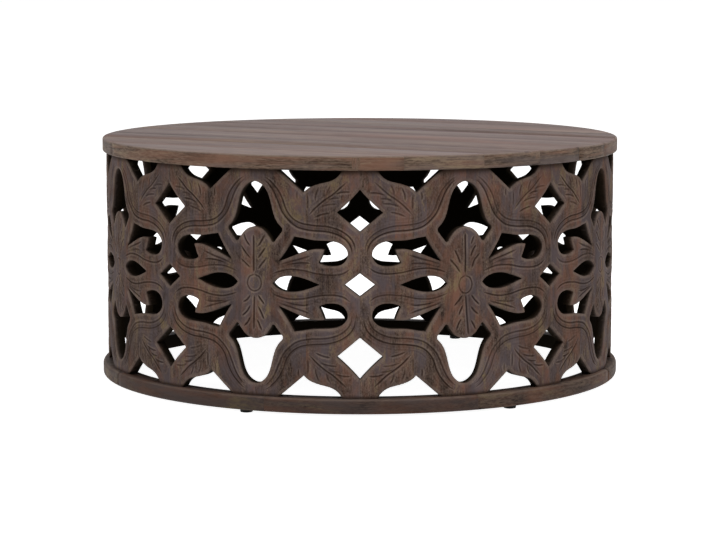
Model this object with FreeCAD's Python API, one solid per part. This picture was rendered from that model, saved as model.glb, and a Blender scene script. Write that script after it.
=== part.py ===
"""Round drum table in wood, modelled piece by piece in millimetres.

A wall of thirty-two upright staves, pierced and carved with eight repeats of one medallion
motif, stands on a segmented base ring and carries a round top of edge-glued boards.
Origin: centre of the floor circle.  +Z up, -Y front.  Angles run from the front towards +X.
"""
import FreeCAD, Part
import math
import os

Vector = FreeCAD.Vector
ORIGIN = Vector(0, 0, 0)
UP = Vector(0, 0, 1)
ACROSS = Vector(1, 0, 0)

# Counts
MOTIFS = 8
STAVES_PER_MOTIF = 4
TOP_BOARDS = 9
RING_SEGMENTS = 8
FEET = 6

# Top
TOP_DIAMETER = 914.4
TOP_THICKNESS = 24.0
TOP_EDGE_ROUND = 3.0
BOARD_DIRECTION = -30.0       # degrees in plan, from +X

# Wall
TOP_OVERHANG = 6.0            # the top stands out past the wall by this much
WALL_HEIGHT = 373.0
WALL_THICKNESS = 18.0

# Base ring
RING_HEIGHT = 25.0
RING_WIDTH = 33.0
RING_STANDOUT = 9.0           # the ring stands out past the wall by this much
RING_EDGE_ROUND = 6.0
RING_FIRST_JOINT = -20.0      # degrees

# Dowels in the end grain
WALL_DOWEL_DIAMETER = 10.0
WALL_DOWEL_LENGTH = 32.0
WALL_DOWEL_IN_STAVE = 20.0
RING_DOWEL_DIAMETER = 8.0
RING_DOWEL_LENGTH = 40.0
RING_DOWEL_RISE = 8.0         # from the ring's underside up to the dowel's axis
GLUE_CLEARANCE = 0.1          # round a dowel and past each of its ends

# Nail-on feet
FOOT_DIAMETER = 21.0
FOOT_HEIGHT = 6.0
FOOT_EDGE_ROUND = 1.5
FOOT_SETBACK = 22.0           # from the ring's outside in to the foot's axis
FOOT_FIRST_ANGLE = -25.3      # degrees
NAIL_DIAMETER = 2.6
NAIL_LENGTH = 14.0
NAIL_HEAD_DIAMETER = 6.5
NAIL_HEAD_THICKNESS = 1.2
NAIL_RECESS = 2.0             # from the sole up to the nail head
NAIL_CLEARANCE = 0.1

CUT_OVERRUN = 5.0

# What follows from the driving sizes
TOP_RADIUS = TOP_DIAMETER / 2
WALL_OUTER_RADIUS = TOP_RADIUS - TOP_OVERHANG
WALL_INNER_RADIUS = WALL_OUTER_RADIUS - WALL_THICKNESS
WALL_MIDDLE_RADIUS = (WALL_OUTER_RADIUS + WALL_INNER_RADIUS) / 2
RING_OUTER_RADIUS = WALL_OUTER_RADIUS + RING_STANDOUT
RING_INNER_RADIUS = RING_OUTER_RADIUS - RING_WIDTH
RING_MIDDLE_RADIUS = (RING_OUTER_RADIUS + RING_INNER_RADIUS) / 2
FOOT_CIRCLE_RADIUS = RING_OUTER_RADIUS - FOOT_SETBACK
RING_BOTTOM = FOOT_HEIGHT
WALL_BOTTOM = RING_BOTTOM + RING_HEIGHT
WALL_TOP = WALL_BOTTOM + WALL_HEIGHT
WALL_MIDDLE = (WALL_BOTTOM + WALL_TOP) / 2
BOARD_WIDTH = TOP_DIAMETER / TOP_BOARDS
MOTIF_ANGLE = 360 / MOTIFS
STAVE_ANGLE = MOTIF_ANGLE / STAVES_PER_MOTIF
MOTIF_HALF_WIDTH = math.pi * WALL_OUTER_RADIUS / MOTIFS
MOTIF_HALF_HEIGHT = WALL_HEIGHT / 2
WALL_DOWEL_OUTSIDE_STAVE = WALL_DOWEL_LENGTH - WALL_DOWEL_IN_STAVE

# Openings in a quarter of the motif.  A point is (round the wall, up the wall) from the middle
# of the medallion, as shares of the motif's half width and half height.  Each row is one
# stretch: two points are a straight line, three an arc and more a smooth curve.
BELL_SHARES = [
    [(0, 0.892), (0.056, 0.876), (0.105, 0.838), (0.158, 0.727), (0.192, 0.606), (0.262, 0.499)],
    [(0.262, 0.499), (0.274, 0.478), (0.264, 0.450)],
    [(0.264, 0.450), (0.204, 0.378)],
    [(0.204, 0.378), (0.183, 0.364), (0.163, 0.381)],
    [(0.163, 0.381), (0.135, 0.420), (0.068, 0.478), (0, 0.493)],
]
COMMA_SHARES = [
    [(0.237, 0.196), (0.316, 0.302), (0.387, 0.418)],
    [(0.387, 0.418), (0.452, 0.410), (0.564, 0.391), (0.734, 0.383), (0.835, 0.351),
     (0.886, 0.278), (0.852, 0.196), (0.762, 0.163), (0.618, 0.193)],
    [(0.618, 0.193), (0.646, 0.247), (0.669, 0.308)],
    [(0.669, 0.308), (0.564, 0.308), (0.451, 0.276), (0.339, 0.233), (0.237, 0.196)],
]
EYE_SHARES = [
    [(0.178, 0), (0.203, 0.026), (0.282, 0.063), (0.350, 0.071), (0.451, 0.059), (0.626, 0)],
]
END_DIAMOND_SHARES = [
    [(1, 0.463), (0.889, 0.552), (0.787, 0.633)],
    [(0.787, 0.633), (0.903, 0.733), (1, 0.834)],
]
MIDDLE_DIAMOND_SHARES = [
    [(1, 0.103), (0.926, 0.049), (0.858, 0)],
]
TRIANGLE_SHARES = [
    [(0.237, 1), (0.477, 0.804)],
    [(0.477, 0.804), (0.536, 0.850), (0.649, 0.887), (0.745, 0.914), (0.810, 0.963), (0.832, 1)],
]

# Places round the wall, as shares of the motif's half width
COMMA_MIDDLE_SHARE = 0.56
EYE_MIDDLE_SHARE = 0.40
TRIANGLE_MIDDLE_SHARE = 0.53
MEDALLION_DOWEL_SHARE = 0.17
LEAF_DOWEL_SHARE = 0.92


def turned(shape, degrees):
    """A copy of the shape, turned about the table's upright axis."""
    copy = shape.copy()
    copy.rotate(ORIGIN, UP, degrees)
    return copy


def left_hand(shape):
    """The shape's mirror image across the middle of the front."""
    return shape.mirror(ORIGIN, ACROSS)


def at(radius, degrees, height):
    """The point at a radius, an angle from the front and a height."""
    angle = math.radians(degrees)
    return Vector(radius * math.sin(angle), -radius * math.cos(angle), height)


def share_angle(share):
    """The angle from the middle of the medallion to this share of the motif's half width."""
    return share * MOTIF_ANGLE / 2


# Outlines

def stretch_edge(points):
    """A line through two points, an arc through three, a smooth curve through more."""
    if len(points) == 2:
        return Part.LineSegment(*points).toShape()
    if len(points) == 3:
        return Part.Arc(*points).toShape()
    curve = Part.BSplineCurve()
    curve.interpolate(points)
    return curve.toShape()


def reflected(stretches, reflect):
    """The outline's mirror image, run backwards so that it carries on from the outline's end."""
    return [[reflect(point) for point in reversed(stretch)] for stretch in reversed(stretches)]


def both_halves(stretches, reflect):
    """A closed outline from one half, with corners where the halves meet."""
    return stretches + reflected(stretches, reflect)


def both_halves_smooth(stretches, reflect):
    """A closed outline from one half, whose first and last curves run on across the middle."""
    other = reflected(stretches, reflect)
    crown = other[-1] + stretches[0][1:]
    foot = stretches[-1] + other[0][1:]
    return [crown] + stretches[1:-1] + [foot] + other[1:-1]


def across_middle(point):
    return (-point[0], point[1])


def across_joint(point):
    return (2 - point[0], point[1])


def upside_down(point):
    return (point[0], -point[1])


def opening(stretches, middle_share):
    """A cutter through the wall, square to it at the middle share, for one closed outline."""
    def flat_point(point):
        angle = math.radians(share_angle(point[0] - middle_share))
        return Vector(WALL_OUTER_RADIUS * math.sin(angle), -start,
                      WALL_MIDDLE + point[1] * MOTIF_HALF_HEIGHT)
    start = WALL_INNER_RADIUS * math.cos(math.radians(MOTIF_ANGLE / 2)) - CUT_OVERRUN
    length = WALL_OUTER_RADIUS + CUT_OVERRUN - start
    edges = [stretch_edge([flat_point(point) for point in stretch]) for stretch in stretches]
    prism = Part.Face(Part.Wire(edges)).extrude(Vector(0, -length, 0))
    return turned(prism, share_angle(middle_share))


def above_and_below(stretches, middle_share):
    """The cutter for an outline and the one for its reflection in the wall's mid height."""
    lower = reflected(stretches, upside_down)
    return [opening(stretches, middle_share), opening(lower, middle_share)]


def motif_openings():
    """Cutters for all openings that reach the right half of the motif."""
    triangle_top = 1 + CUT_OVERRUN / MOTIF_HALF_HEIGHT
    first, last = TRIANGLE_SHARES[0][0], TRIANGLE_SHARES[-1][-1]
    lid = [[last, (last[0], triangle_top)],
           [(last[0], triangle_top), (first[0], triangle_top)],
           [(first[0], triangle_top), first]]
    bell = both_halves_smooth(BELL_SHARES, across_middle)
    eye = both_halves(EYE_SHARES, upside_down)
    end_diamond = both_halves(END_DIAMOND_SHARES, across_joint)
    half_diamond = both_halves(MIDDLE_DIAMOND_SHARES, upside_down)
    middle_diamond = both_halves(half_diamond, across_joint)
    cutters = above_and_below(bell, 0)
    cutters += above_and_below(COMMA_SHARES, COMMA_MIDDLE_SHARE)
    cutters += above_and_below(TRIANGLE_SHARES + lid, TRIANGLE_MIDDLE_SHARE)
    cutters += above_and_below(end_diamond, 1)
    cutters += [opening(eye, EYE_MIDDLE_SHARE), opening(middle_diamond, 1)]
    return cutters


# Wall

def wall_block(start, end):
    """The plain wall between two angles."""
    low_outer = at(WALL_OUTER_RADIUS, start, WALL_BOTTOM)
    high_outer = at(WALL_OUTER_RADIUS, end, WALL_BOTTOM)
    low_inner = at(WALL_INNER_RADIUS, start, WALL_BOTTOM)
    high_inner = at(WALL_INNER_RADIUS, end, WALL_BOTTOM)
    middle = (start + end) / 2
    edges = [
        Part.Arc(low_outer, at(WALL_OUTER_RADIUS, middle, WALL_BOTTOM), high_outer).toShape(),
        Part.LineSegment(high_outer, high_inner).toShape(),
        Part.Arc(high_inner, at(WALL_INNER_RADIUS, middle, WALL_BOTTOM), low_inner).toShape(),
        Part.LineSegment(low_inner, low_outer).toShape(),
    ]
    return Part.Face(Part.Wire(edges)).extrude(Vector(0, 0, WALL_HEIGHT))


def wall_dowel(share, bottom, clearance):
    """An upright dowel at a share of the motif, or its bore when there is clearance."""
    radius = WALL_DOWEL_DIAMETER / 2 + clearance
    height = WALL_DOWEL_LENGTH + 2 * clearance
    foot = at(WALL_MIDDLE_RADIUS, share_angle(share), bottom - clearance)
    return Part.makeCylinder(radius, height, foot)


BASE_DOWEL_BOTTOM = WALL_BOTTOM - WALL_DOWEL_OUTSIDE_STAVE
TOP_DOWEL_BOTTOM = WALL_TOP - WALL_DOWEL_IN_STAVE


def motif_dowels(bottom, clearance):
    """The four dowels of one motif at this height."""
    shares = (MEDALLION_DOWEL_SHARE, LEAF_DOWEL_SHARE)
    right = [wall_dowel(share, bottom, clearance) for share in shares]
    return right + [left_hand(dowel) for dowel in right]


def all_wall_dowels(bottom, clearance):
    """The dowels of every motif at this height."""
    return [turned(dowel, motif_middle(number))
            for number in range(MOTIFS) for dowel in motif_dowels(bottom, clearance)]


def motif_middle(number):
    return MOTIF_ANGLE * (number + 1 / 2)


def right_staves():
    """The medallion stave and the leaf stave of the motif's right half."""
    cutters = motif_openings()
    cutters += motif_dowels(BASE_DOWEL_BOTTOM, GLUE_CLEARANCE)
    cutters += motif_dowels(TOP_DOWEL_BOTTOM, GLUE_CLEARANCE)
    medallion = wall_block(0, STAVE_ANGLE).cut(cutters)
    leaf = wall_block(STAVE_ANGLE, 2 * STAVE_ANGLE).cut(cutters)
    return {"medallion_stave": medallion, "leaf_stave": leaf}


def staves():
    """Every stave of the wall, by name."""
    pieces = {}
    for name, right in right_staves().items():
        left = left_hand(right)
        for number in range(MOTIFS):
            pieces[f"{name}_right_{number + 1}"] = turned(right, motif_middle(number))
            pieces[f"{name}_left_{number + 1}"] = turned(left, motif_middle(number))
    return pieces


# Top

def rounded_block(inner, outer, bottom, top, edge_round):
    """The section of a disc or ring in the plane of the front, its two outer edges rounded."""
    slant = edge_round * (1 - math.sqrt(1 / 2))
    low, high = bottom + edge_round, top - edge_round
    points = [(inner, bottom), (outer - edge_round, bottom), (outer, low), (outer, high),
              (outer - edge_round, top), (inner, top)]
    corners = [Vector(radius, 0, height) for radius, height in points]
    edges = [
        Part.LineSegment(corners[0], corners[1]).toShape(),
        Part.Arc(corners[1], Vector(outer - slant, 0, bottom + slant), corners[2]).toShape(),
        Part.LineSegment(corners[2], corners[3]).toShape(),
        Part.Arc(corners[3], Vector(outer - slant, 0, top - slant), corners[4]).toShape(),
        Part.LineSegment(corners[4], corners[5]).toShape(),
        Part.LineSegment(corners[5], corners[0]).toShape(),
    ]
    return Part.Face(Part.Wire(edges))


def top_boards():
    """The round top, sawn into its boards and bored for the dowels."""
    section = rounded_block(0, TOP_RADIUS, WALL_TOP, WALL_TOP + TOP_THICKNESS, TOP_EDGE_ROUND)
    disc = section.revolve(ORIGIN, UP, 360)
    bores = all_wall_dowels(TOP_DOWEL_BOTTOM, GLUE_CLEARANCE)
    length = TOP_DIAMETER + 2 * CUT_OVERRUN
    pieces = {}
    for number in range(TOP_BOARDS):
        near = BOARD_WIDTH * number - TOP_RADIUS
        strip = Part.makeBox(length, BOARD_WIDTH, TOP_THICKNESS,
                             Vector(-length / 2, near, WALL_TOP))
        board = disc.common(turned(strip, BOARD_DIRECTION))
        pieces[f"top_board_{number + 1}"] = board.cut(bores)
    return pieces


# Base ring

def ring_joint_angle(number):
    return RING_FIRST_JOINT + 360 / RING_SEGMENTS * number


def ring_dowel(number, clearance):
    """The dowel across one end joint of the ring, or its bore."""
    length = RING_DOWEL_LENGTH + 2 * clearance
    start = Vector(-length / 2, -RING_MIDDLE_RADIUS, RING_BOTTOM + RING_DOWEL_RISE)
    dowel = Part.makeCylinder(RING_DOWEL_DIAMETER / 2 + clearance, length, start, ACROSS)
    return turned(dowel, ring_joint_angle(number))


def ring_segments():
    """The base ring's segments, bored for the wall dowels, end dowels and nails."""
    section = rounded_block(RING_INNER_RADIUS, RING_OUTER_RADIUS, RING_BOTTOM, WALL_BOTTOM,
                            RING_EDGE_ROUND)
    segment = turned(section, -90).revolve(ORIGIN, UP, 360 / RING_SEGMENTS)
    bores = all_wall_dowels(BASE_DOWEL_BOTTOM, GLUE_CLEARANCE)
    bores += [ring_dowel(number, GLUE_CLEARANCE) for number in range(RING_SEGMENTS)]
    bores += [nail(number, NAIL_CLEARANCE) for number in range(FEET)]
    return {f"base_ring_segment_{number + 1}": turned(segment, ring_joint_angle(number)).cut(bores)
            for number in range(RING_SEGMENTS)}


# Feet

def foot_angle(number):
    return FOOT_FIRST_ANGLE + 360 / FEET * number


def nail(number, clearance):
    """The nail of one foot, or its bore with the way in from the sole."""
    bottom = 0 if clearance else NAIL_RECESS
    head_top = NAIL_RECESS + NAIL_HEAD_THICKNESS
    middle = at(FOOT_CIRCLE_RADIUS, foot_angle(number), bottom)
    shank_height = NAIL_RECESS + NAIL_LENGTH + clearance - bottom
    shank = Part.makeCylinder(NAIL_DIAMETER / 2 + clearance, shank_height, middle)
    head = Part.makeCylinder(NAIL_HEAD_DIAMETER / 2 + clearance, head_top - bottom, middle)
    return head.fuse(shank).removeSplitter()


def feet():
    """The round feet, each bored and sunk for its nail."""
    pieces = {}
    for number in range(FEET):
        middle = at(FOOT_CIRCLE_RADIUS, foot_angle(number), 0)
        disc = Part.makeCylinder(FOOT_DIAMETER / 2, FOOT_HEIGHT, middle)
        sole = [edge for edge in disc.Edges if edge.BoundBox.ZMax < FOOT_HEIGHT / 2]
        disc = disc.makeFillet(FOOT_EDGE_ROUND, sole)
        pieces[f"foot_{number + 1}"] = disc.cut(nail(number, NAIL_CLEARANCE))
    return pieces


def fasteners():
    """Dowels and nails, each kind one group of separate solids."""
    return {
        "top_dowels": Part.makeCompound(all_wall_dowels(TOP_DOWEL_BOTTOM, 0)),
        "base_dowels": Part.makeCompound(all_wall_dowels(BASE_DOWEL_BOTTOM, 0)),
        "ring_dowels": Part.makeCompound([ring_dowel(n, 0) for n in range(RING_SEGMENTS)]),
        "foot_nails": Part.makeCompound([nail(number, 0) for number in range(FEET)]),
    }


os.makedirs("parts", exist_ok=True)
for make in (staves, top_boards, ring_segments, feet, fasteners):
    for name, shape in make().items():
        shape.exportStep(f"parts/{name}.step")
        print(name, len(shape.Solids), shape.isValid(), round(shape.Volume))
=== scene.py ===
"""The drum table's looks: a carved wall of upright staves, a boarded top and a base ring."""
import math
import random

import bpy
import numpy as np
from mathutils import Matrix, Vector, kdtree, noise


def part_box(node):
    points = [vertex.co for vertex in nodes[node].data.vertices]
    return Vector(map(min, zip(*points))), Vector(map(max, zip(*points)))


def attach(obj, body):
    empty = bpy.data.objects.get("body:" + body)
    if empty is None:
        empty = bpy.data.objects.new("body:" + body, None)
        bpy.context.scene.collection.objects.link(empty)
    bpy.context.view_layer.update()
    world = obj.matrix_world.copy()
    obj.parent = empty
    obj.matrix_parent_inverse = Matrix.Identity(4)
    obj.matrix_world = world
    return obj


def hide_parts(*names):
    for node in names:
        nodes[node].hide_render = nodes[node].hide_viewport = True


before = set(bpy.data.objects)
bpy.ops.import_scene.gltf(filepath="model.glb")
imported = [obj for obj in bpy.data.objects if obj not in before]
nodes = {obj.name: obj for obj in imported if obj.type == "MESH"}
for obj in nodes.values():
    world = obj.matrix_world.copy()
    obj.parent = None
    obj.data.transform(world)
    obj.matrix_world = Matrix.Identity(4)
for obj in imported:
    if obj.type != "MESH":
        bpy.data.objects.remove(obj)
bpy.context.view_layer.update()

MM = 0.001
MOTIFS = 8
TOP_BOARDS = 9
RING_SEGMENTS = 8
FEET = 6


# Sizes read from the frame

def mesh_points(thing):
    """The corners of a mesh object as rows of x, y, z."""
    points = np.empty(len(thing.data.vertices) * 3)
    thing.data.vertices.foreach_get("co", points)
    return points.reshape(-1, 3)


def outer_radius(points):
    """How far the furthest corner lies from the table's axis."""
    return float(np.hypot(points[:, 0], points[:, 1]).max())


WALL_RADIUS = outer_radius(mesh_points(nodes["medallion_stave_right_1"]))
WALL_BOTTOM, WALL_TOP = (corner[2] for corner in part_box("medallion_stave_right_1"))
WALL_MIDDLE = (WALL_BOTTOM + WALL_TOP) / 2
MOTIF_WIDTH = math.tau * WALL_RADIUS / MOTIFS
STAVE_WIDTH = MOTIF_WIDTH / 4
TOP_RADIUS = outer_radius(mesh_points(nodes["top_board_5"]))
TOP_ROUND = 3 * MM
RING_ROUND = 6 * MM

TOUCH = 0.05 * MM             # places nearer than this count as the same
MERGE = 0.01 * MM             # corners nearer than this become one
SHARP_ANGLE = math.radians(50)


# Small modelling helpers

def only(thing):
    """Makes this the one selected and active object."""
    bpy.ops.object.select_all(action="DESELECT")
    thing.select_set(True)
    bpy.context.view_layer.objects.active = thing
    return thing


def merge_corners(thing):
    """Makes one of all corners that lie in the same place."""
    only(thing)
    bpy.ops.object.mode_set(mode="EDIT")
    bpy.ops.mesh.select_all(action="SELECT")
    bpy.ops.mesh.remove_doubles(threshold=MERGE)
    bpy.ops.object.mode_set(mode="OBJECT")


def copy_of_node(name, new_name):
    """A new object with a merged copy of a CAD node's mesh."""
    piece = bpy.data.objects.new(new_name, nodes[name].data.copy())
    bpy.context.collection.objects.link(piece)
    piece.data.materials.clear()
    merge_corners(piece)
    return piece


def set_points(thing, points):
    """Writes rows of x, y, z back to a mesh object."""
    thing.data.vertices.foreach_set("co", np.asarray(points, dtype=np.float64).ravel())
    thing.data.update()


def apply_modifier(thing, kind, **settings):
    """Adds a modifier with these settings and applies it."""
    only(thing)
    modifier = thing.modifiers.new(kind.lower(), kind)
    for name, value in settings.items():
        setattr(modifier, name, value)
    bpy.ops.object.modifier_apply(modifier=modifier.name)


def pick_faces(thing, wanted):
    """Selects in edit mode the faces that a row of true and false marks, and nothing else."""
    only(thing)
    mesh = thing.data
    mesh.vertices.foreach_set("select", np.zeros(len(mesh.vertices), dtype=bool))
    mesh.edges.foreach_set("select", np.zeros(len(mesh.edges), dtype=bool))
    mesh.polygons.foreach_set("select", np.asarray(wanted, dtype=bool))
    bpy.ops.object.mode_set(mode="EDIT")
    bpy.ops.mesh.select_mode(type="FACE")


def face_range(thing, values):
    """The lowest and highest of a per-corner value on each face."""
    mesh = thing.data
    corners = np.empty(len(mesh.loops), dtype=np.int64)
    mesh.loops.foreach_get("vertex_index", corners)
    starts = np.empty(len(mesh.polygons), dtype=np.int64)
    mesh.polygons.foreach_get("loop_start", starts)
    values = values[corners]
    return np.minimum.reduceat(values, starts), np.maximum.reduceat(values, starts)


def twin(thing):
    """A linked-in copy of an object with a mesh of its own."""
    copy = thing.copy()
    copy.data = thing.data.copy()
    bpy.context.collection.objects.link(copy)
    return copy


def keep(thing, name, values, kind="FLOAT"):
    """Stores one value for each corner under this name, for the finish to read."""
    layer = thing.data.attributes.new(name, kind, "POINT")
    field = "vector" if kind == "FLOAT_VECTOR" else "value"
    layer.data.foreach_set(field, np.asarray(values, dtype=np.float32).ravel())


def kept(thing, name):
    """The values stored for each corner under this name."""
    values = np.empty(len(thing.data.vertices), dtype=np.float32)
    thing.data.attributes[name].data.foreach_get("value", values)
    return values


def neighbour_mean(thing, values):
    """The mean of each corner's neighbours for rows of values."""
    edges = np.empty(len(thing.data.edges) * 2, dtype=np.int64)
    thing.data.edges.foreach_get("vertices", edges)
    ends = edges.reshape(-1, 2)
    total = np.zeros_like(values)
    np.add.at(total, ends[:, 0], values[ends[:, 1]])
    np.add.at(total, ends[:, 1], values[ends[:, 0]])
    count = np.bincount(edges, minlength=len(values)).astype(float)
    return total / count.reshape(-1, *[1] * (values.ndim - 1))


def edge_wear_and_highlight(thing, full_wear):
    """How far each corner stands proud of its neighbours, as a share of full wear and painted
    highlight.
    """
    points = mesh_points(thing)
    normals = np.empty(len(points) * 3)
    thing.data.vertices.foreach_get("normal", normals)
    proud = ((points - neighbour_mean(thing, points)) * normals.reshape(-1, 3)).sum(axis=1)
    for _ in range(2):
        proud = neighbour_mean(thing, proud)
    return np.clip(proud / full_wear, 0, 1)


# The wall, carved flat and then rolled round the drum.  Flat, x runs round the wall from the
# middle of the motif, y goes in from the outer face and z is up.

SPARE = 6 * MM                # waste left on each end until the carving is done


def unroll(points, middle_angle):
    """The points of the round wall laid flat, from this angle as the middle."""
    angles = np.arctan2(points[:, 0], -points[:, 1]) - middle_angle
    angles = (angles + math.pi) % math.tau - math.pi
    radii = np.hypot(points[:, 0], points[:, 1])
    return np.column_stack([angles * WALL_RADIUS, WALL_RADIUS - radii, points[:, 2]])


def roll_up(points, middle_angle):
    """The points of a flat piece put round the drum, its middle at this angle."""
    angles = points[:, 0] / WALL_RADIUS + middle_angle
    radii = WALL_RADIUS - points[:, 1]
    return np.column_stack([radii * np.sin(angles), -radii * np.cos(angles), points[:, 2]])


def motif_middle(number):
    """The angle from the front to the middle of a motif, counted from 1."""
    return math.tau / MOTIFS * (number - 1 / 2)


def lies_at(values, place):
    """True for each pair of lowest and highest values that both lie at a place."""
    low, high = values
    return (np.abs(low - place) < TOUCH) & (np.abs(high - place) < TOUCH)


def flat_motif(name):
    """One motif and a stave more on each side as a flat pierced panel, with waste on its ends."""
    strip = ["leaf_stave_right_8", "leaf_stave_left_1", "medallion_stave_left_1",
             "medallion_stave_right_1", "leaf_stave_right_1", "leaf_stave_left_2"]
    pieces = [copy_of_node(node, name) for node in strip]
    panel = only(pieces[0])
    for piece in pieces[1:]:
        piece.select_set(True)
    bpy.ops.object.join()
    set_points(panel, unroll(mesh_points(panel), motif_middle(1)))
    across = face_range(panel, mesh_points(panel)[:, 0])
    joints = [place * STAVE_WIDTH for place in range(-2, 3)]
    pick_faces(panel, np.any([lies_at(across, joint) for joint in joints], axis=0))
    bpy.ops.mesh.delete(type="FACE")
    bpy.ops.mesh.select_all(action="SELECT")
    bpy.ops.mesh.remove_doubles(threshold=TOUCH)
    bpy.ops.object.mode_set(mode="OBJECT")
    for end, spare in ((WALL_TOP, SPARE), (WALL_BOTTOM, -SPARE)):
        pick_faces(panel, lies_at(face_range(panel, mesh_points(panel)[:, 2]), end))
        bpy.ops.mesh.extrude_region_move(TRANSFORM_OT_translate={"value": (0, 0, spare)})
        bpy.ops.object.mode_set(mode="OBJECT")
    return panel


# Carved lines of a quarter of the motif, in millimetres round and up from the medallion's middle
STRAP_LINES = [
    [(17, 176), (28, 169), (41, 155), (49, 141), (56, 122), (66, 109), (80, 101), (100, 97.5),
     (125, 95.5), (146, 89), (161, 78), (168, 66), (170, 52)],
    [(15, 170), (25, 163.5), (35, 150), (43, 132), (51, 115), (62, 102.5), (76, 93), (97, 88.5),
     (123, 86.8), (142, 81.5), (156, 72), (163, 60), (164.5, 46)],
]
PETAL_LINES = [
    [(31, 16.5), (45, 21.5), (62, 25), (84, 24), (108, 19), (132, 17), (150, 20), (164, 29)],
    [(42, 31.5), (58, 36.5), (76, 41.5), (99, 49)],
    [(52, 30), (68, 33.5), (84, 35), (98, 34)],
]
LEAF_VEINS = [
    [(92, 113), (104, 126), (118, 138), (132, 147.5), (146, 160), (156, 169)],
]
LEAF_CUTS = [
    [(90.5, 121), (91, 134), (90.5, 147)],
    [(76, 137), (75, 145), (76, 153)],
    [(104, 136), (105, 147), (110, 159)],
    [(122, 144), (124, 154), (129, 163)],
    [(102, 110.5), (114, 115.5), (129, 119)],
    [(111, 127), (125, 131.5), (141, 133)],
    [(123, 138), (134, 141.5), (145, 142)],
    [(135, 147), (148, 150.5), (162, 151)],
]
TOOL_MARKS = [                # fainter strokes that run this far beside some of the lines
    (STRAP_LINES[0], (-4.3, 4.6, 9.5)),
    (PETAL_LINES[0], (-5, 4.5, 9)),
    (LEAF_VEINS[0], (-6, 5.5)),
]

# Cuts of the two kinds of medallion, each from the middle vein outwards
OVAL_MEDALLION_CUTS = [
    [(-1, 17), (-1, 50), (-1, 79)],
    [(0, -20), (-1, -50), (-1.5, -78)],
    [(-7.5, 60), (-14, 68), (-20, 81)], [(-7, 40), (-15, 48), (-24, 60)],
    [(-7, 24), (-15, 31), (-25, 39)],
    [(6.5, 60), (13, 69), (19, 80)], [(6, 40), (13, 49), (20, 59)], [(6, 22), (13, 31), (21, 41)],
    [(-7, -20), (-13, -28), (-21, -33)], [(-7, -37), (-14, -48), (-23, -56)],
    [(-7, -56), (-13, -66), (-20, -73)],
    [(6, -20), (12, -28), (18, -36)], [(6, -38), (12, -49), (17, -60)],
    [(4.5, -60), (9, -70), (13, -79)],
]
BROAD_MEDALLION_CUTS = [
    [(-0.5, 15), (-0.5, 45), (-1, 82)],
    [(0.5, -20), (3, -55), (6, -87)],
    [(-9, 31), (-13, 42), (-20, 56)], [(-9, 16.5), (-17, 28), (-28, 40)],
    [(9.5, 62), (12.5, 70), (15.5, 77)], [(11, 23), (16, 36), (26, 48)],
    [(9, 42), (13, 52), (19, 62)],
    [(-5, -20), (-11, -28), (-20, -38)], [(-4, -36), (-8, -45), (-12, -54)],
    [(-7, -59), (-12, -68), (-16, -78)],
    [(10, -20), (17, -29), (26, -38)], [(9.5, -39), (17, -48), (25, -54)],
    [(10, -62), (15, -70), (20, -79)],
]
# The ring cut round the medallion's middle: its radii across and up, and how low it sits
DISC_RADII = {"oval": (12.5, 13.6), "broad": (11.5, 14.6)}
DISC_DROP = {"oval": 0.0, "broad": 3.0}

# Sizes of the carving, in millimetres
LINE_STEP = 0.7               # spacing of the points that stand for a line
LINE_HALF_WIDTH, LINE_DEPTH = 2.0, 1.8
VEIN_HALF_WIDTH, VEIN_DEPTH = 2.0, 1.9
LEAF_CUT_HALF_WIDTH, LEAF_CUT_DEPTH = 1.8, 1.5
CUT_HALF_WIDTH, CUT_DEPTH = 1.9, 2.1
DISC_HALF_WIDTH, DISC_DEPTH = 1.7, 1.45
MARK_HALF_WIDTH, MARK_DEPTH = 1.5, 0.5
JOINT_HALF_WIDTH, JOINT_DEPTH = 0.9, 0.7
HAND_SLIP = 1.2               # how far the carver's lines stray
SHOULDER = 6.5                # how far out a cut's soft shoulder reaches
SHOULDER_SHARE = 0.42         # how much of a cut's depth the shoulder takes
MEDALLION_HALF_WIDTH, MEDALLION_HALF_HEIGHT = 25.5, 91.0
MEDALLION_FULLNESS = 2.5      # 2 would be an ellipse
MEDALLION_STEP = {"oval": 0.9, "broad": 0.4}  # how far the ground drops beside each medallion
STEP_REACH = 12.0
STEP_STARTS = (14.0, 26.0)    # the step fades in between these heights from the middle
PILLOW, PILLOW_REACH = 1.3, 9.0  # how far the forms fall away towards the openings
HAND_WAVE, WAVE_TURNS = 0.22, 55  # the scraper's unevenness, and its turns to the metre
EDGE_SHADE_REACH = 6.0        # how far from the openings the painted shade reaches
FINE_FROM = 0.6               # cuts deeper than this get a finer mesh

# Lighter ridges beside the cuts, partly rubbed wear and partly painted highlight: how far out and
# how broad in half widths, and how strong
RIDGE_PLACE, RIDGE_SPREAD, RIDGE_WEAR_AND_HIGHLIGHT = 1.6, 0.5, 0.9

# The panel's mesh
MESH_DEPTH = 8                # the panel's longer side takes two to this power cells
MESH_SPREAD = 0.91
FRONT_SKIN = 0.7 * MM         # how deep the outer face may lie below the plain wall
CARVED_SKIN = 8 * MM          # carving moves nothing that lies deeper than this
LINE_REFINING = (5.0 * MM, 2.2 * MM)  # the mesh is halved once within each of these of a line
BACK_STARTS = 5 * MM          # deeper than this the mesh is thinned
BACK_LEFT = 0.2               # share of the back's faces that is kept
FULL_WEAR_AND_HIGHLIGHT = 0.25 * MM         # a corner this proud of its neighbours gets full wear and painted highlight
ON_THE_FACE = (1, 0, 1)       # drops how deep a place lies


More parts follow.
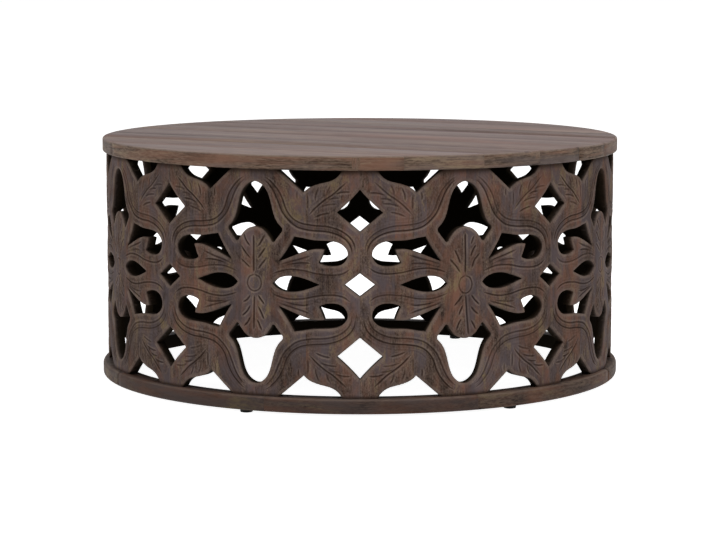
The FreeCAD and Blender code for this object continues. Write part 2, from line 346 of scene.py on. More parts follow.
def smooth_line(points):
    """Closely spaced points along a smooth curve through a line's few points."""
    knots = np.array([np.subtract(points[0], points[1]) + points[0], *points,
                      np.subtract(points[-1], points[-2]) + points[-1]])
    rows = []
    for a, b, c, d in zip(knots, knots[1:], knots[2:], knots[3:]):
        count = max(2, int(np.hypot(*(c - b)) / LINE_STEP))
        for t in np.arange(count)[:, None] / count:
            rows.append(0.5 * (2 * b + (c - a) * t + (2 * a - 5 * b + 4 * c - d) * t ** 2
                               + (3 * b - a - 3 * c + d) * t ** 3))
    return np.vstack([*rows, knots[-2][None]])


def gouge(points, half_width, depth, taper_in, taper_out):
    """Rows of x, z, half width and depth along a line that fades in and out at its ends."""
    path = smooth_line(points)
    steps = np.hypot(*np.diff(path, axis=0).T)
    along = np.concatenate([[0], np.cumsum(steps)])
    fade = np.minimum(along / taper_in, (along[-1] - along) / taper_out) + 0.15
    fade = np.clip(fade, 0, 1) ** 0.7
    return np.column_stack([path, half_width * fade, depth * fade])


def beside(points, offset):
    """A line that runs this far to the side of another."""
    path = np.array(points, dtype=float)
    ahead = np.gradient(path, axis=0)
    ahead /= np.hypot(*ahead.T)[:, None]
    return path + offset * np.column_stack([-ahead[:, 1], ahead[:, 0]])


def motif_gouges(kind, rng):
    """Every carved line of one motif, with the small differences of hand work."""
    rows = []
    marks = [beside(line, offset) for line, offsets in TOOL_MARKS for offset in offsets]
    for sx in (-1, 1):
        for sz in (-1, 1):
            for lines, half_width, depth, taper_in, taper_out in (
                    (STRAP_LINES, LINE_HALF_WIDTH, LINE_DEPTH, 20, 20),
                    (PETAL_LINES, LINE_HALF_WIDTH, LINE_DEPTH, 14, 14),
                    (LEAF_VEINS, VEIN_HALF_WIDTH, VEIN_DEPTH, 16, 16),
                    (marks, MARK_HALF_WIDTH, MARK_DEPTH, 20, 20),
                    (LEAF_CUTS, LEAF_CUT_HALF_WIDTH, LEAF_CUT_DEPTH, 6, 6)):
                for line in lines:
                    slip = [rng.uniform(-HAND_SLIP, HAND_SLIP) for _ in range(2)]
                    moved = [(sx * (x + slip[0]), sz * (z + slip[1])) for x, z in line]
                    depth_here = depth * rng.uniform(0.75, 1.15)
                    rows.append(gouge(moved, half_width, depth_here, taper_in, taper_out))
    cuts = OVAL_MEDALLION_CUTS if kind == "oval" else BROAD_MEDALLION_CUTS
    for cut in cuts:
        rows.append(gouge(cut, CUT_HALF_WIDTH, CUT_DEPTH * rng.uniform(0.85, 1.15), 5, 5))
    across, up = DISC_RADII[kind]
    drop = DISC_DROP[kind]
    turns = np.linspace(0, math.tau, 9)
    rows.append(gouge([(across * math.sin(t), up * math.cos(t) - drop) for t in turns],
                      DISC_HALF_WIDTH, DISC_DEPTH, 3, 3))
    half_width, half_height = MOTIF_WIDTH / MM / 2, (WALL_TOP - WALL_BOTTOM) / MM / 2
    for side in (-half_width, half_width):
        rows.append(gouge([(side, -half_height), (side, half_height)],
                          JOINT_HALF_WIDTH, JOINT_DEPTH, LINE_STEP, LINE_STEP))
    return np.vstack(rows)


def plant(rows, numbers):
    """A search tree of places, each with its number."""
    tree = kdtree.KDTree(len(rows))
    for row, number in zip(rows.tolist(), numbers):
        tree.insert(row, int(number))
    tree.balance()
    return tree


def nearest(tree, places, count):
    """The numbers and the distances of the nearest few entries for each place."""
    found = [tree.find_n(place, count) for place in places.tolist()]
    return (np.array([[entry[1] for entry in row] for row in found]),
            np.array([[entry[2] for entry in row] for row in found]))


def refine_near(panel, tree, reach):
    """Halves the mesh of the outer face within reach of a carved line."""
    points = mesh_points(panel)
    front = np.flatnonzero(points[:, 1] < FRONT_SKIN)
    near = np.zeros(len(points))
    near[front] = nearest(tree, points[front] * ON_THE_FACE, 1)[1][:, 0] < reach
    pick_faces(panel, face_range(panel, near)[0] > 0)
    bpy.ops.mesh.subdivide(number_cuts=1)
    bpy.ops.object.mode_set(mode="OBJECT")


def beside_medallion(x, z, kind):
    """How far the ground drops at each place next to the medallion's own outline."""
    out = ((np.abs(x) / MEDALLION_HALF_WIDTH) ** MEDALLION_FULLNESS
           + (np.abs(z) / MEDALLION_HALF_HEIGHT) ** MEDALLION_FULLNESS)
    past = (out ** (1 / MEDALLION_FULLNESS) - 1) * MEDALLION_HALF_WIDTH
    here = np.interp(np.abs(z), STEP_STARTS, (0, 1)) * MEDALLION_STEP[kind]
    return np.where(past > 0, here * np.clip(1 - past / STEP_REACH, 0, 1), 0)


def carve(panel, gouges, kind):
    """Cuts the lines and forms into the outer face and keeps how deep each corner was cut."""
    path = np.column_stack([gouges[:, 0] * MM, 0 * gouges[:, 0], WALL_MIDDLE + gouges[:, 1] * MM])
    deep = np.flatnonzero(gouges[:, 3] > FINE_FROM)
    fine = plant(path[deep], deep)
    for reach in LINE_REFINING:
        refine_near(panel, fine, reach)
    points = mesh_points(panel)
    rim = np.flatnonzero(kept(panel, "rim") > 0.5)
    rims = plant(points[rim] * ON_THE_FACE, rim)
    skin = np.flatnonzero(points[:, 1] < CARVED_SKIN)
    places = points[skin] * ON_THE_FACE
    numbers, away = nearest(plant(path, range(len(path))), places, 4)
    half_width, depth = gouges[numbers, 2] * MM, gouges[numbers, 3] * MM
    core = np.clip(depth * (1 - away / half_width), 0, None).max(axis=1)
    shoulder = (depth * np.clip(1 - away / (SHOULDER * MM), 0, 1) ** 2).max(axis=1)
    beyond = (away / half_width - RIDGE_PLACE) / RIDGE_SPREAD
    ridge = (np.exp(-beyond ** 2) * depth).max(axis=1) / (CUT_DEPTH * MM)
    inset = nearest(rims, places, 1)[1][:, 0]
    pillow = PILLOW * np.clip(1 - inset / (PILLOW_REACH * MM), 0, 1) ** 2
    wave = [HAND_WAVE * (1 + noise.noise(Vector(place) * WAVE_TURNS))
            for place in places.tolist()]
    step = beside_medallion(places[:, 0] / MM, (places[:, 2] - WALL_MIDDLE) / MM, kind)
    lowered = (core * (1 - SHOULDER_SHARE) + shoulder * SHOULDER_SHARE
               + (pillow + wave + step) * MM)
    keep(panel, "depth", points[:, 1])
    points[skin, 1] += lowered * (1 - np.clip(points[skin, 1] / CARVED_SKIN, 0, 1))
    set_points(panel, points)
    wear_and_highlight, cut_depth = kept(panel, "wear_and_highlight"), np.zeros(len(points))
    # ridges beside the cuts get the lighter colour of rubbed wear and painted highlight
    wear_and_highlight[skin] = np.maximum(wear_and_highlight[skin], ridge * RIDGE_WEAR_AND_HIGHLIGHT)
    # the cut depth also sets the painted shade in the cuts
    cut_depth[skin] = core / (CUT_DEPTH * MM)
    keep(panel, "cut_depth", cut_depth)
    # painted shade on the face near the openings
    shade = np.zeros(len(points))
    shade[skin] = np.clip(1 - inset / (EDGE_SHADE_REACH * MM), 0, 1)
    keep(panel, "edge_shade", shade)
    panel.data.attributes["wear_and_highlight"].data.foreach_set("value", wear_and_highlight)


def mesh_anew(panel):
    """Gives the panel an even mesh with eased outer edges and a thin one behind."""
    apply_modifier(panel, "REMESH", mode="SHARP", octree_depth=MESH_DEPTH, scale=MESH_SPREAD,
                   use_remove_disconnected=False)
    points = mesh_points(panel)
    # proud edges get the lighter colour of rubbed wear and painted highlight
    keep(panel, "wear_and_highlight", edge_wear_and_highlight(panel, FULL_WEAR_AND_HIGHLIGHT))
    outline = panel.vertex_groups.new(name="outline")
    mean_depth = neighbour_mean(panel, points)[:, 1]
    on_edge = (points[:, 1] < FRONT_SKIN) & (mean_depth > points[:, 1] + TOUCH)
    outline.add([int(number) for number in np.flatnonzero(on_edge)], 1.0, "REPLACE")
    keep(panel, "rim", on_edge)
    apply_modifier(panel, "SMOOTH", factor=0.5, iterations=2, vertex_group="outline")
    low, _ = face_range(panel, points[:, 1])
    pick_faces(panel, low > BACK_STARTS)
    bpy.ops.mesh.decimate(ratio=BACK_LEFT)
    bpy.ops.object.mode_set(mode="OBJECT")
    return panel


SAW_TOUCH = 0.001 * MM
STAVE_ORDER = ["leaf_stave_left", "medallion_stave_left", "medallion_stave_right",
               "leaf_stave_right"]


def saw(piece, point, waste_side, has_bores=False):
    """Cuts a piece at a plane, throws the waste away and closes the cut, round any bores."""
    only(piece)
    bpy.ops.object.mode_set(mode="EDIT")
    bpy.ops.mesh.select_mode(type="EDGE")
    bpy.ops.mesh.select_all(action="SELECT")
    bpy.ops.mesh.bisect(plane_co=point, plane_no=waste_side, clear_outer=True,
                        threshold=SAW_TOUCH)
    if has_bores:
        bpy.ops.mesh.fill(use_beauty=False)
    else:
        bpy.ops.mesh.edge_face_add()
    bpy.ops.object.mode_set(mode="OBJECT")


def flat_staves(blank, kind, seed):
    """The four staves of one motif by name, carved but still flat."""
    rest = twin(blank)
    carve(rest, motif_gouges(kind, random.Random(seed)), kind)
    saw(rest, (0, 0, WALL_TOP), (0, 0, 1), has_bores=True)
    saw(rest, (0, 0, WALL_BOTTOM), (0, 0, -1), has_bores=True)
    saw(rest, (-2 * STAVE_WIDTH, 0, 0), (-1, 0, 0))
    saw(rest, (2 * STAVE_WIDTH, 0, 0), (1, 0, 0))
    pieces = {}
    for joint, name in zip((-1, 0, 1), STAVE_ORDER):
        pieces[name] = twin(rest)
        saw(pieces[name], (joint * STAVE_WIDTH, 0, 0), (1, 0, 0))
        saw(rest, (joint * STAVE_WIDTH, 0, 0), (-1, 0, 0))
    pieces[STAVE_ORDER[-1]] = rest
    for piece in pieces.values():
        merge_corners(piece)
        bpy.ops.object.mode_set(mode="EDIT")
        bpy.ops.mesh.dissolve_degenerate(threshold=MERGE)
        bpy.ops.object.mode_set(mode="OBJECT")
        bpy.ops.object.shade_smooth_by_angle(angle=SHARP_ANGLE)
    return pieces


CARVER_SEEDS = {"oval": 11, "broad": 23}
# The openings' side walls and the inner face get painted shade, darker the deeper they lie
SHADE_DEPTHS = (0.6 * MM, 5 * MM, 14 * MM)
SHADE_DARKENING = (0.0, 0.76, 1.0)  # how much painted shade there is at each of these depths
CORNERS = (WALL_BOTTOM + 2 * MM, WALL_BOTTOM + 6 * MM, WALL_TOP - 9 * MM, WALL_TOP - 3 * MM)
CORNER_PAINTED_SHADE = (1, 0, 0, 1)  # painted shade where the wall meets the ring and under the top
GRAIN_SLIP = np.array((0.31, 0.0, 0.17))   # moves the grain on from one piece to the next


def dress(piece, node, finish):
    """Gives a piece its finish and its body, and hides the CAD node it stands in for."""
    piece.data.materials.append(finish)
    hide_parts(node)
    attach(piece, "root")


def keep_grain(piece, node, number, flat_points):
    """Stores a piece's own grain coordinates, z along the grain, and its own tone."""
    keep(piece, "along_grain", flat_points + number * GRAIN_SLIP, "FLOAT_VECTOR")
    keep(piece, "tone", np.full(len(flat_points), random.Random(node).random()))


def build_wall(finish):
    """Eight motifs round the drum, broad and oval medallions by turns."""
    blank = mesh_anew(flat_motif("blank"))
    kinds = [flat_staves(blank, kind, seed) for kind, seed in CARVER_SEEDS.items()]
    bpy.data.objects.remove(blank)
    number = 0
    for motif in range(1, MOTIFS + 1):
        for name, flat in kinds[motif % 2].items():
            node = f"{name}_{motif}"
            number += 1
            piece = bpy.data.objects.new(f"carved_{node}", flat.data.copy())
            bpy.context.collection.objects.link(piece)
            points = mesh_points(piece)
            keep_grain(piece, node, number, points)
            depth = kept(piece, "depth")
            # painted shade by depth on the side walls and the inner face
            keep(piece, "inside_shade", np.interp(depth, SHADE_DEPTHS, SHADE_DARKENING))
            # painted shade where the wall meets the ring and under the top
            keep(piece, "corner", np.interp(points[:, 2], CORNERS, CORNER_PAINTED_SHADE))
            set_points(piece, roll_up(points, motif_middle(motif)))
            dress(piece, node, finish)
    for kind in kinds:
        for flat in kind.values():
            bpy.data.objects.remove(flat)


# The boards of the top and the segments of the base ring

BOARD_DIRECTION = math.radians(-30)
# The figure of the boards' faces, of their rim and of the ring, across, through and along the
# grain: under 1 it is broader than the carved wall's
BOARD_STRETCH = (0.3, 0.6, 0.09)
RIM_STRETCH = (1.0, 1.1, 0.3)
RING_STRETCH = (0.5, 0.8, 0.4)
SEAM_EASE = 0.5 * MM          # how much the sharp edges are broken by hand
EASED_ANGLE = math.radians(40)
FLAT_ANGLE = math.radians(0.5)  # faces that turn less than this become one
HIGHLIGHT_MIDDLE, HIGHLIGHT_SPREAD = 55, 28  # degrees above level where the painted highlight on the ring's edge is strongest, and how far it spreads


def eased(node, new_name):
    """A copy of a CAD node with the sharp edges of its upper and lower faces broken."""
    piece = copy_of_node(node, new_name)
    bpy.ops.object.mode_set(mode="EDIT")
    bpy.ops.mesh.dissolve_limited(angle_limit=FLAT_ANGLE)
    bpy.ops.mesh.select_all(action="DESELECT")
    bpy.ops.mesh.select_mode(type="EDGE")
    bpy.ops.mesh.edges_select_sharp(sharpness=EASED_ANGLE)
    bpy.ops.object.mode_set(mode="OBJECT")
    low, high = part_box(node)
    weights = piece.data.attributes.new("bevel_weight_edge", "FLOAT", "EDGE")
    heights = mesh_points(piece)[:, 2]
    for edge in piece.data.edges:
        ends = heights[list(edge.vertices)]
        level = min(abs(ends - low[2]).max(), abs(ends - high[2]).max()) < TOUCH
        weights.data[edge.index].value = 1.0 if edge.select and level else 0.0
    apply_modifier(piece, "BEVEL", width=SEAM_EASE, segments=2, limit_method="WEIGHT")
    merge_corners(piece)
    apply_modifier(piece, "TRIANGULATE")
    only(piece)
    bpy.ops.object.shade_smooth_by_angle(angle=SHARP_ANGLE)
    return piece


def build_top(finish):
    """Nine boards with their grain one way, a grey wash with painted sheen on the face, a rounded
    edge lighter with rubbed wear and painted highlight, and painted shade below.
    """
    cos, sin = math.cos(BOARD_DIRECTION), math.sin(BOARD_DIRECTION)
    for number in range(1, TOP_BOARDS + 1):
        node = f"top_board_{number}"
        piece = eased(node, f"planed_{node}")
        points = mesh_points(piece)
        low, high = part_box(node)
        along = points[:, 0] * cos + points[:, 1] * sin
        across = points[:, 1] * cos - points[:, 0] * sin
        depth = high[2] - points[:, 2]
        wash_and_sheen = np.clip((points[:, 2] - high[2]) / TOP_ROUND + 1, 0, 1)
        keep_grain(piece, node, number, np.column_stack([across, depth, along]) * BOARD_STRETCH)
        keep(piece, "wash_and_sheen", wash_and_sheen)
        around = np.arctan2(points[:, 0], -points[:, 1]) % math.tau * TOP_RADIUS
        rim_place = np.column_stack([0 * around, depth, around]) * RIM_STRETCH
        keep(piece, "along_rim", rim_place + number * GRAIN_SLIP, "FLOAT_VECTOR")
        # the rounded edge gets the lighter colour of rubbed wear and painted highlight
        keep(piece, "wear_and_highlight", (wash_and_sheen > TOUCH / TOP_ROUND) & (wash_and_sheen < 1 - TOUCH / TOP_ROUND))
        # the underside gets painted shade
        keep(piece, "inside_shade", points[:, 2] < low[2] + TOUCH)
        dress(piece, node, finish)


def painted_ring_highlight(radii, heights):
    """Painted highlight along the rounded upper edge, most in its middle where it faces up
    towards the light.
    """
    up = heights - heights.max() + RING_ROUND
    out = radii - radii.max() + RING_ROUND
    turn = np.degrees(np.arctan2(up, out))
    return np.clip(1 - np.abs(turn - HIGHLIGHT_MIDDLE) / HIGHLIGHT_SPREAD, 0, 1) * ((up > 0) & (out > 0))


def build_base_ring(finish):
    """Eight straight-grained segments, each cut to the ring's curve, with painted shade on the
    inner face and a painted highlight on the upper edge.
    """
    for number in range(1, RING_SEGMENTS + 1):
        node = f"base_ring_segment_{number}"
        piece = eased(node, f"rounded_{node}")
        points = mesh_points(piece)
        middle = points[:, :2].mean(axis=0)
        outward = middle / np.hypot(*middle)
        along = points[:, 1] * outward[0] - points[:, 0] * outward[1]
        across = points[:, :2] @ outward
        grain = np.column_stack([across, points[:, 2], along])
        keep_grain(piece, node, number, grain * RING_STRETCH)
        radii = np.hypot(points[:, 0], points[:, 1])
        # the inner face gets painted shade
        keep(piece, "inside_shade", radii < radii.min() + TOUCH)
        # painted highlight along the ring's upper edge
        keep(piece, "wear_and_highlight", painted_ring_highlight(radii, points[:, 2]))
        dress(piece, node, finish)


# Finishes

def join_up(tree, socket, value):
    """Links a socket or sets its value."""
    if isinstance(value, bpy.types.NodeSocket):
        tree.links.new(value, socket)
    else:
        socket.default_value = value


def add(tree, kind, inputs=None, output=0, **settings):
    """Adds a shader node with these inputs and settings and gives one of its outputs."""
    made = tree.nodes.new(kind)
    for name, value in settings.items():
        setattr(made, name, value)
    for socket, value in (inputs or {}).items():
        join_up(tree, made.inputs[socket], value)
    return made.outputs[output]


def blend_colours(tree, share, first, second, way="MIX"):
    """The first colour with this share of the second one over it."""
    return add(tree, "ShaderNodeMix", {0: share, 6: first, 7: second}, 2,
               data_type="RGBA", blend_type=way)


def sums(tree, way, first, second):
    """One step of arithmetic on two values."""
    return add(tree, "ShaderNodeMath", {0: first, 1: second}, operation=way)


def ramp(tree, value, low, high, start=0.0, end=1.0):
    """Maps low..high to start..end, held at both ends."""
    return add(tree, "ShaderNodeMapRange", {
        "Value": value, "From Min": low, "From Max": high, "To Min": start, "To Max": end})


def grain_noise(tree, place, turns, detail=3.0, roughness=0.55, twist=0.0, output=0):
    """Noise with its own turns to the metre across, through and along the grain."""
    spread = add(tree, "ShaderNodeVectorMath", {0: place, 1: turns}, operation="MULTIPLY")
    return add(tree, "ShaderNodeTexNoise", {
        "Vector": spread, "Scale": 1.0, "Detail": detail, "Roughness": roughness,
        "Distortion": twist}, output)


def split_colour(tree, colour):
    """The three channels of a colour, as three masks that don't depend on each other."""
    split = tree.nodes.new("ShaderNodeSeparateColor")
    join_up(tree, split.inputs[0], colour)
    return list(split.outputs)


def mean_of(tree, *weighted):
    """The sum of masks, each times its weight."""
    total = 0.0
    for mask, weight in weighted:
        total = add(tree, "ShaderNodeMath", {0: mask, 1: weight, 2: total},
                    operation="MULTIPLY_ADD")
    return total


def attribute(tree, name, output="Fac"):
    """What keep stored on the piece under this name."""
    made = tree.nodes.new("ShaderNodeAttribute")
    made.attribute_name = name
    return made.outputs[output]


# Turns to the metre of each pattern in the wood, across, through and along the grain
STREAK_TURNS = (430, 430, 34)
SPECKLE_TURNS = (380, 380, 260)
PORE_TURNS = (1300, 1300, 110)
FIGURE_TURNS = (50, 50, 16)
PATCH_TURNS = (21, 21, 14)
PIECE_STEP = 977.0            # keeps the strips of one piece far from those of the next
PORE_STAIN = 0.35             # how dark the pores are


def build_washed_wood():
    """Stained wood with a wash, which all the woods share, from five colours of its own."""
    group = bpy.data.node_groups.new("washed_wood", "ShaderNodeTree")
    face = group.interface
    for name, kind in (("Place", "Vector"), ("Tone", "Float"), ("Strips", "Float"),
                       ("Brown", "Color"), ("Dark", "Color"), ("Red", "Color"), ("Grey", "Color"),
                       ("Olive", "Color")):
        face.new_socket(name, in_out="INPUT", socket_type=f"NodeSocket{kind}")
    for name, kind in (("Colour", "Color"), ("Relief", "Float"), ("Sheen Mask", "Float")):
        face.new_socket(name, in_out="OUTPUT", socket_type=f"NodeSocket{kind}")
    entry = group.nodes.new("NodeGroupInput")
    place, tone, strips, brown, dark, red, grey, olive = entry.outputs[:8]
    streaks = ramp(group, grain_noise(group, place, STREAK_TURNS, 4, 0.65), 0.3, 0.7)
    speckle = ramp(group, grain_noise(group, place, SPECKLE_TURNS, 4, 0.7), 0.33, 0.67)
    pores = ramp(group, grain_noise(group, place, PORE_TURNS, 1, 0.4), 0.58, 0.72)
    figure = split_colour(group, grain_noise(group, place, FIGURE_TURNS, 4, 0.6, 1.0, "Color"))
    patches = split_colour(group, grain_noise(group, place, PATCH_TURNS, 4, 0.62, 0.5, "Color"))
    figure = [ramp(group, channel, 0.33, 0.67) for channel in figure]
    patches = [ramp(group, channel, 0.35, 0.65) for channel in patches]
    parts = add(group, "ShaderNodeSeparateXYZ", {0: place})
    turn = sums(group, "ADD", sums(group, "MULTIPLY", parts, strips),
                sums(group, "MULTIPLY", tone, PIECE_STEP))
    strip = split_colour(group, add(group, "ShaderNodeTexVoronoi", {
        "W": turn, "Scale": 1.0, "Randomness": 0.9}, "Color", voronoi_dimensions="1D"))
    shade = mean_of(group, (streaks, 0.27), (speckle, 0.33), (figure[0], 0.22),
                    (patches[0], 0.18))
    colour = blend_colours(group, ramp(group, shade, 0.31, 0.66), dark, brown)
    redness = mean_of(group, (strip[1], 0.25), (figure[1], 0.4), (patches[1], 0.35))
    colour = blend_colours(group, ramp(group, redness, 0.45, 0.85), colour, red)
    greyness = mean_of(group, (strip[2], 0.3), (figure[2], 0.3), (patches[2], 0.4))
    colour = blend_colours(group, ramp(group, greyness, 0.38, 0.75, 0.0, 0.9), colour, grey)
    yellowing = mean_of(group, (figure[0], 0.45), (patches[0], 0.3), (speckle, 0.25))
    colour = blend_colours(group, ramp(group, yellowing, 0.6, 0.88), colour, olive)
    strength = mean_of(group, (strip[0], 0.6), (patches[1], 0.4))
    strength = ramp(group, strength, 0.0, 1.0, 0.77, 1.26)
    colour = blend_colours(group, 1.0, colour, add(
        group, "ShaderNodeCombineXYZ", {0: strength, 1: strength, 2: strength}), "MULTIPLY")
    colour = blend_colours(group, sums(group, "MULTIPLY", pores, PORE_STAIN), colour, dark)
    leave = group.nodes.new("NodeGroupOutput")
    join_up(group, leave.inputs["Colour"], colour)
    join_up(group, leave.inputs["Relief"], sums(group, "SUBTRACT", streaks, pores))
    join_up(group, leave.inputs["Sheen Mask"], sums(group, "MULTIPLY", shade, patches[2]))
    return group


# near-black painted shade for the unlit inner faces
INSIDE_PAINTED_SHADE = (0.013, 0.009, 0.0048)
TOP_WASH_AND_SHEEN, WASH_AND_SHEEN_SHARE = (0.147, 0.11, 0.112), 0.45  # a thin grey wash on the top's face, partly real and partly painted sheen, that evens it out
ON_RIM = 0.05                 # where less than this is on the top's face, the grain follows the rim
RUB_AND_HIGHLIGHT_SHARES = (0.25, 0.85)     # how much of the wear and painted highlight colour shows on dull and on shiny wood
FULLY_SHADED, CUT_SHADE = 0.75, 0.85  # the cut depth from which a cut has its full painted shade
CORNER_SHADE, EDGE_SHADE = 0.75, 0.28  # shares of the painted shade colour at the corners and near the openings
RELIEF_STRENGTH, RELIEF_HEIGHT = 0.4, 0.25 * MM


def grain_place(tree, has_rim):
    """The grain coordinates, with others where a rim runs round the boards."""
    place = attribute(tree, "along_grain", "Vector")
    if not has_rim:
        return place
    on_face = sums(tree, "GREATER_THAN", attribute(tree, "wash_and_sheen"), ON_RIM)
    return add(tree, "ShaderNodeMix", {
        0: on_face, 4: attribute(tree, "along_rim", "Vector"), 5: place}, 1, data_type="VECTOR")


def wood_finish(name, group, strips, brown, dark, red, grey, olive, wear_and_highlight, painted_shade, specular,
                roughness, has_rim=False):
    """One of the woods: its own colours, rubbed edges with painted highlight, and painted shade
    in the cuts, at the corners, near the openings and on the inner faces.
    """
    finish = bpy.data.materials.new(name)
    finish.use_nodes = True
    tree = finish.node_tree
    shader = tree.nodes["Principled BSDF"]
    shader.inputs["Specular IOR Level"].default_value = specular
    wash = tree.nodes.new("ShaderNodeGroup")
    wash.node_tree = group
    for socket, value in (("Place", grain_place(tree, has_rim)),
                          ("Tone", attribute(tree, "tone")), ("Strips", strips),
                          ("Brown", (*brown, 1)), ("Dark", (*dark, 1)),
                          ("Red", (*red, 1)), ("Grey", (*grey, 1)), ("Olive", (*olive, 1))):
        join_up(tree, wash.inputs[socket], value)
    # rubbed edges lighter with wear and painted highlight
    rub_and_highlight = sums(tree, "MULTIPLY", attribute(tree, "wear_and_highlight"),
               ramp(tree, wash.outputs["Sheen Mask"], 0.0, 0.5, *RUB_AND_HIGHLIGHT_SHARES))
    colour = blend_colours(tree, rub_and_highlight, wash.outputs["Colour"], (*wear_and_highlight, 1))
    # painted shade in the cuts
    cut = ramp(tree, attribute(tree, "cut_depth"), 0.0, FULLY_SHADED, 0.0, CUT_SHADE)
    colour = blend_colours(tree, cut, colour, (*painted_shade, 1))
    # painted shade at the corners and near the openings
    corner = mean_of(tree, (attribute(tree, "corner"), CORNER_SHADE),
                     (attribute(tree, "edge_shade"), EDGE_SHADE))
    colour = blend_colours(tree, corner, colour, (*painted_shade, 1))
    # grey wash with painted sheen on the top's face
    wash_and_sheen_share = sums(tree, "MULTIPLY", attribute(tree, "wash_and_sheen"), WASH_AND_SHEEN_SHARE)
    colour = blend_colours(tree, wash_and_sheen_share, colour, (*TOP_WASH_AND_SHEEN, 1))
    # painted shade on the inner faces
    colour = blend_colours(tree, attribute(tree, "inside_shade"), colour, (*INSIDE_PAINTED_SHADE, 1))
    join_up(tree, shader.inputs["Base Color"], colour)
    matt = ramp(tree, wash.outputs["Sheen Mask"], 0.0, 1.0, roughness + 0.07, roughness - 0.1)
    matt = sums(tree, "MAXIMUM", matt, attribute(tree, "inside_shade"))
    join_up(tree, shader.inputs["Roughness"], matt)
    join_up(tree, shader.inputs["Normal"], add(tree, "ShaderNodeBump", {
        "Strength": RELIEF_STRENGTH, "Distance": RELIEF_HEIGHT,
        "Height": wash.outputs["Relief"]}))
    return finish


def noisy_finish(name, turns, first, second, low, high, grip, metallic=0.0, specular=0.5):
    """A plain material whose colour and roughness both wander between two values."""
    finish = bpy.data.materials.new(name)
    finish.use_nodes = True
    tree = finish.node_tree
    shader = tree.nodes["Principled BSDF"]
    shader.inputs["Metallic"].default_value = metallic
    shader.inputs["Specular IOR Level"].default_value = specular
    place = add(tree, "ShaderNodeTexCoord", output="Object")
    cloud = ramp(tree, grain_noise(tree, place, (turns, turns, turns), 4), 0.4, 0.7)
    join_up(tree, shader.inputs["Base Color"],
            blend_colours(tree, cloud, (*first, 1), (*second, 1)))
    join_up(tree, shader.inputs["Roughness"], ramp(tree, cloud, 0, 1, low, high))
    fine = grain_noise(tree, place, (turns * 8, turns * 8, turns * 8), 1)
    join_up(tree, shader.inputs["Normal"], add(tree, "ShaderNodeBump", {
        "Strength": grip, "Distance": 0.1 * MM, "Height": fine}))
    return finish


def raw_wood_finish(group):
    """Plain unstained wood for the dowels, which show only when the table is taken apart."""
    finish = bpy.data.materials.new("dowel_wood")
    finish.use_nodes = True
    tree = finish.node_tree
    wash = tree.nodes.new("ShaderNodeGroup")
    wash.node_tree = group
    join_up(tree, wash.inputs["Place"], add(tree, "ShaderNodeTexCoord", output="Object"))
    for socket, colour in (("Brown", (0.6, 0.43, 0.27)), ("Dark", (0.42, 0.28, 0.16)),
                           ("Red", (0.55, 0.36, 0.2)), ("Grey", (0.62, 0.5, 0.36)),
                           ("Olive", (0.66, 0.5, 0.3))):
        wash.inputs[socket].default_value = (*colour, 1)
    shader = tree.nodes["Principled BSDF"]
    join_up(tree, shader.inputs["Base Color"], wash.outputs["Colour"])
    join_up(tree, shader.inputs["Roughness"],
            ramp(tree, wash.outputs["Sheen Mask"], 0, 1, 0.8, 0.6))
    return finish


def refinish(node, finish):
    """Gives a CAD node that stays a better material."""
    for place in nodes[node].material_slots:
        place.material = finish


# Studio

CAMERA_PLACE = (-0.0032, -4.5351, 0.7645)
CAMERA_DOWN = 7.28            # degrees below level
CAMERA_LENS, CAMERA_FRAME = 127.93, 36  # focal length and frame width in millimetres
FLOOR_SIZE = 60
FLOOR_GLOW = 0.95             # how much of the floor's white needs no light
WORLD_LIGHT = 0.24
LAMP_SIZE = 1.5
LAMP_AIM = Vector((0, 0, 0.2))
LAMPS = {"overhead": ((0.3, -0.9, 2.6), 49), "front_left": ((-3.6, -2.2, 1.4), 44),
         "front_right": ((3.5, -2.2, 1.3), 29)}  # the place and the power of each


def build_camera():
    """The camera at the photograph's angle."""
    camera = bpy.data.objects.new("camera", bpy.data.cameras.new("camera"))
    bpy.context.collection.objects.link(camera)
    camera.data.lens = CAMERA_LENS
    camera.data.sensor_width = CAMERA_FRAME
    camera.location = CAMERA_PLACE
    camera.rotation_euler = (math.radians(90 - CAMERA_DOWN), 0, 0)
    bpy.context.scene.camera = camera


def soft_light(name, place, power):
    """A square lamp that faces the middle of the table."""
    lamp = bpy.data.objects.new(name, bpy.data.lights.new(name, "AREA"))
    bpy.context.collection.objects.link(lamp)
    lamp.data.size = LAMP_SIZE
    lamp.data.energy = power
    lamp.location = place
    aim = LAMP_AIM - Vector(place)
    lamp.rotation_euler = aim.to_track_quat("-Z", "Y").to_euler()


def seen_directly(tree):
    """1 for rays that show the background: from the camera, mirrored or passed through."""
    path = tree.nodes.new("ShaderNodeLightPath")
    rays = [path.outputs[f"Is {kind} Ray"] for kind in ("Camera", "Glossy", "Transmission")]
    return sums(tree, "MAXIMUM", sums(tree, "MAXIMUM", rays[0], rays[1]), rays[2])


def pale_floor_finish():
    """A floor that the camera sees as white with a mild shadow, and the light as pale."""
    finish = bpy.data.materials.new("pale_floor")
    finish.use_nodes = True
    tree = finish.node_tree
    shader = tree.nodes["Principled BSDF"]
    shader.inputs["Base Color"].default_value = (0.8, 0.8, 0.8, 1)
    shader.inputs["Roughness"].default_value = 0.9
    shader.inputs["Specular IOR Level"].default_value = 0.0
    seen = seen_directly(tree)
    shader.inputs["Emission Color"].default_value = (1, 1, 1, 1)
    join_up(tree, shader.inputs["Emission Strength"], sums(tree, "MULTIPLY", seen, FLOOR_GLOW))
    return finish


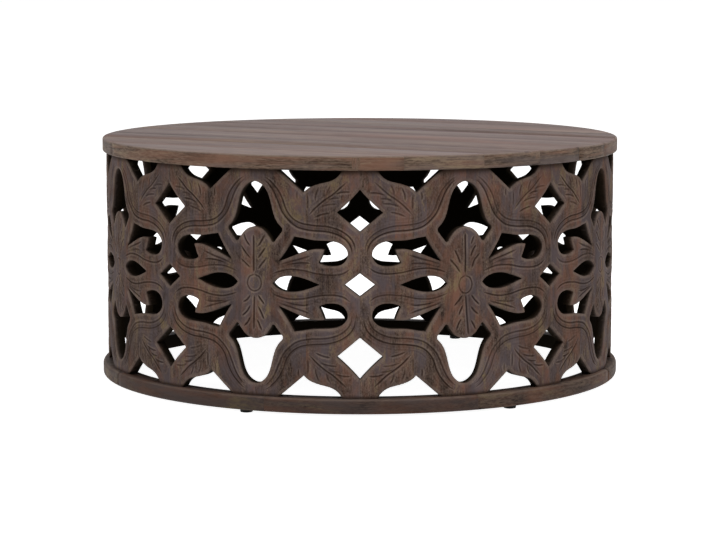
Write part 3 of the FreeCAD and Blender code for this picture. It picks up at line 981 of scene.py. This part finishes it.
def build_stage():
    """The floor, the white room and the soft lamps."""
    bpy.ops.object.select_all(action="DESELECT")
    bpy.ops.mesh.primitive_plane_add(size=FLOOR_SIZE)
    floor = bpy.context.object
    floor.name = "floor"
    floor.data.materials.append(pale_floor_finish())
    world = bpy.data.worlds.new("studio")
    world.use_nodes = True
    tree = world.node_tree
    background = tree.nodes["Background"]
    background.inputs["Color"].default_value = (1, 1, 1, 1)
    join_up(tree, background.inputs["Strength"],
            ramp(tree, seen_directly(tree), 0, 1, WORLD_LIGHT, 1))
    bpy.context.scene.world = world
    for name, (place, power) in LAMPS.items():
        soft_light(name, place, power)


# The table, put together

# In each wood the colour for cuts, corners and opening edges is painted shade, and the edge
# colour is partly rubbed wear, partly painted highlight
WALL_WOOD = dict(
    strips=24.0, brown=(0.142, 0.097, 0.077), dark=(0.034, 0.022, 0.017),
    red=(0.154, 0.077, 0.054), grey=(0.1, 0.079, 0.083), olive=(0.183, 0.131, 0.071),
    wear_and_highlight=(0.235, 0.175, 0.143), painted_shade=(0.026, 0.015, 0.01), specular=0.03, roughness=0.65)
TOP_WOOD = dict(
    strips=0.0, brown=(0.178, 0.122, 0.087), dark=(0.03, 0.018, 0.012),
    red=(0.17, 0.088, 0.058), grey=(0.115, 0.088, 0.08), olive=(0.2, 0.15, 0.092),
    wear_and_highlight=(0.21, 0.157, 0.12), painted_shade=(0.05, 0.035, 0.03), specular=0.13, roughness=0.58,
    has_rim=True)
RING_WOOD = dict(
    strips=0.0, brown=(0.09, 0.06, 0.045), dark=(0.017, 0.01, 0.008),
    red=(0.098, 0.045, 0.028), grey=(0.06, 0.044, 0.04), olive=(0.105, 0.075, 0.042),
    wear_and_highlight=(0.13, 0.093, 0.073), painted_shade=(0.02, 0.012, 0.01), specular=0.12, roughness=0.65)

build_camera()
build_stage()
wash = build_washed_wood()
build_wall(wood_finish("carved_wood", wash, **WALL_WOOD))
build_top(wood_finish("top_wood", wash, **TOP_WOOD))
build_base_ring(wood_finish("ring_wood", wash, **RING_WOOD))
dowel_wood = raw_wood_finish(wash)
for dowels in ("top_dowels", "base_dowels", "ring_dowels"):
    refinish(dowels, dowel_wood)
foot_plastic = noisy_finish("black_plastic", 260.0, (0.004, 0.004, 0.004), (0.012, 0.011, 0.01),
                            0.6, 0.8, 0.2, specular=0.15)
for number in range(1, FEET + 1):
    refinish(f"foot_{number}", foot_plastic)
refinish("foot_nails", noisy_finish("nail_steel", 700.0, (0.5, 0.5, 0.5), (0.32, 0.27, 0.22),
                                    0.25, 0.5, 0.2, metallic=1.0))
bpy.context.scene.view_settings.view_transform = "Standard"
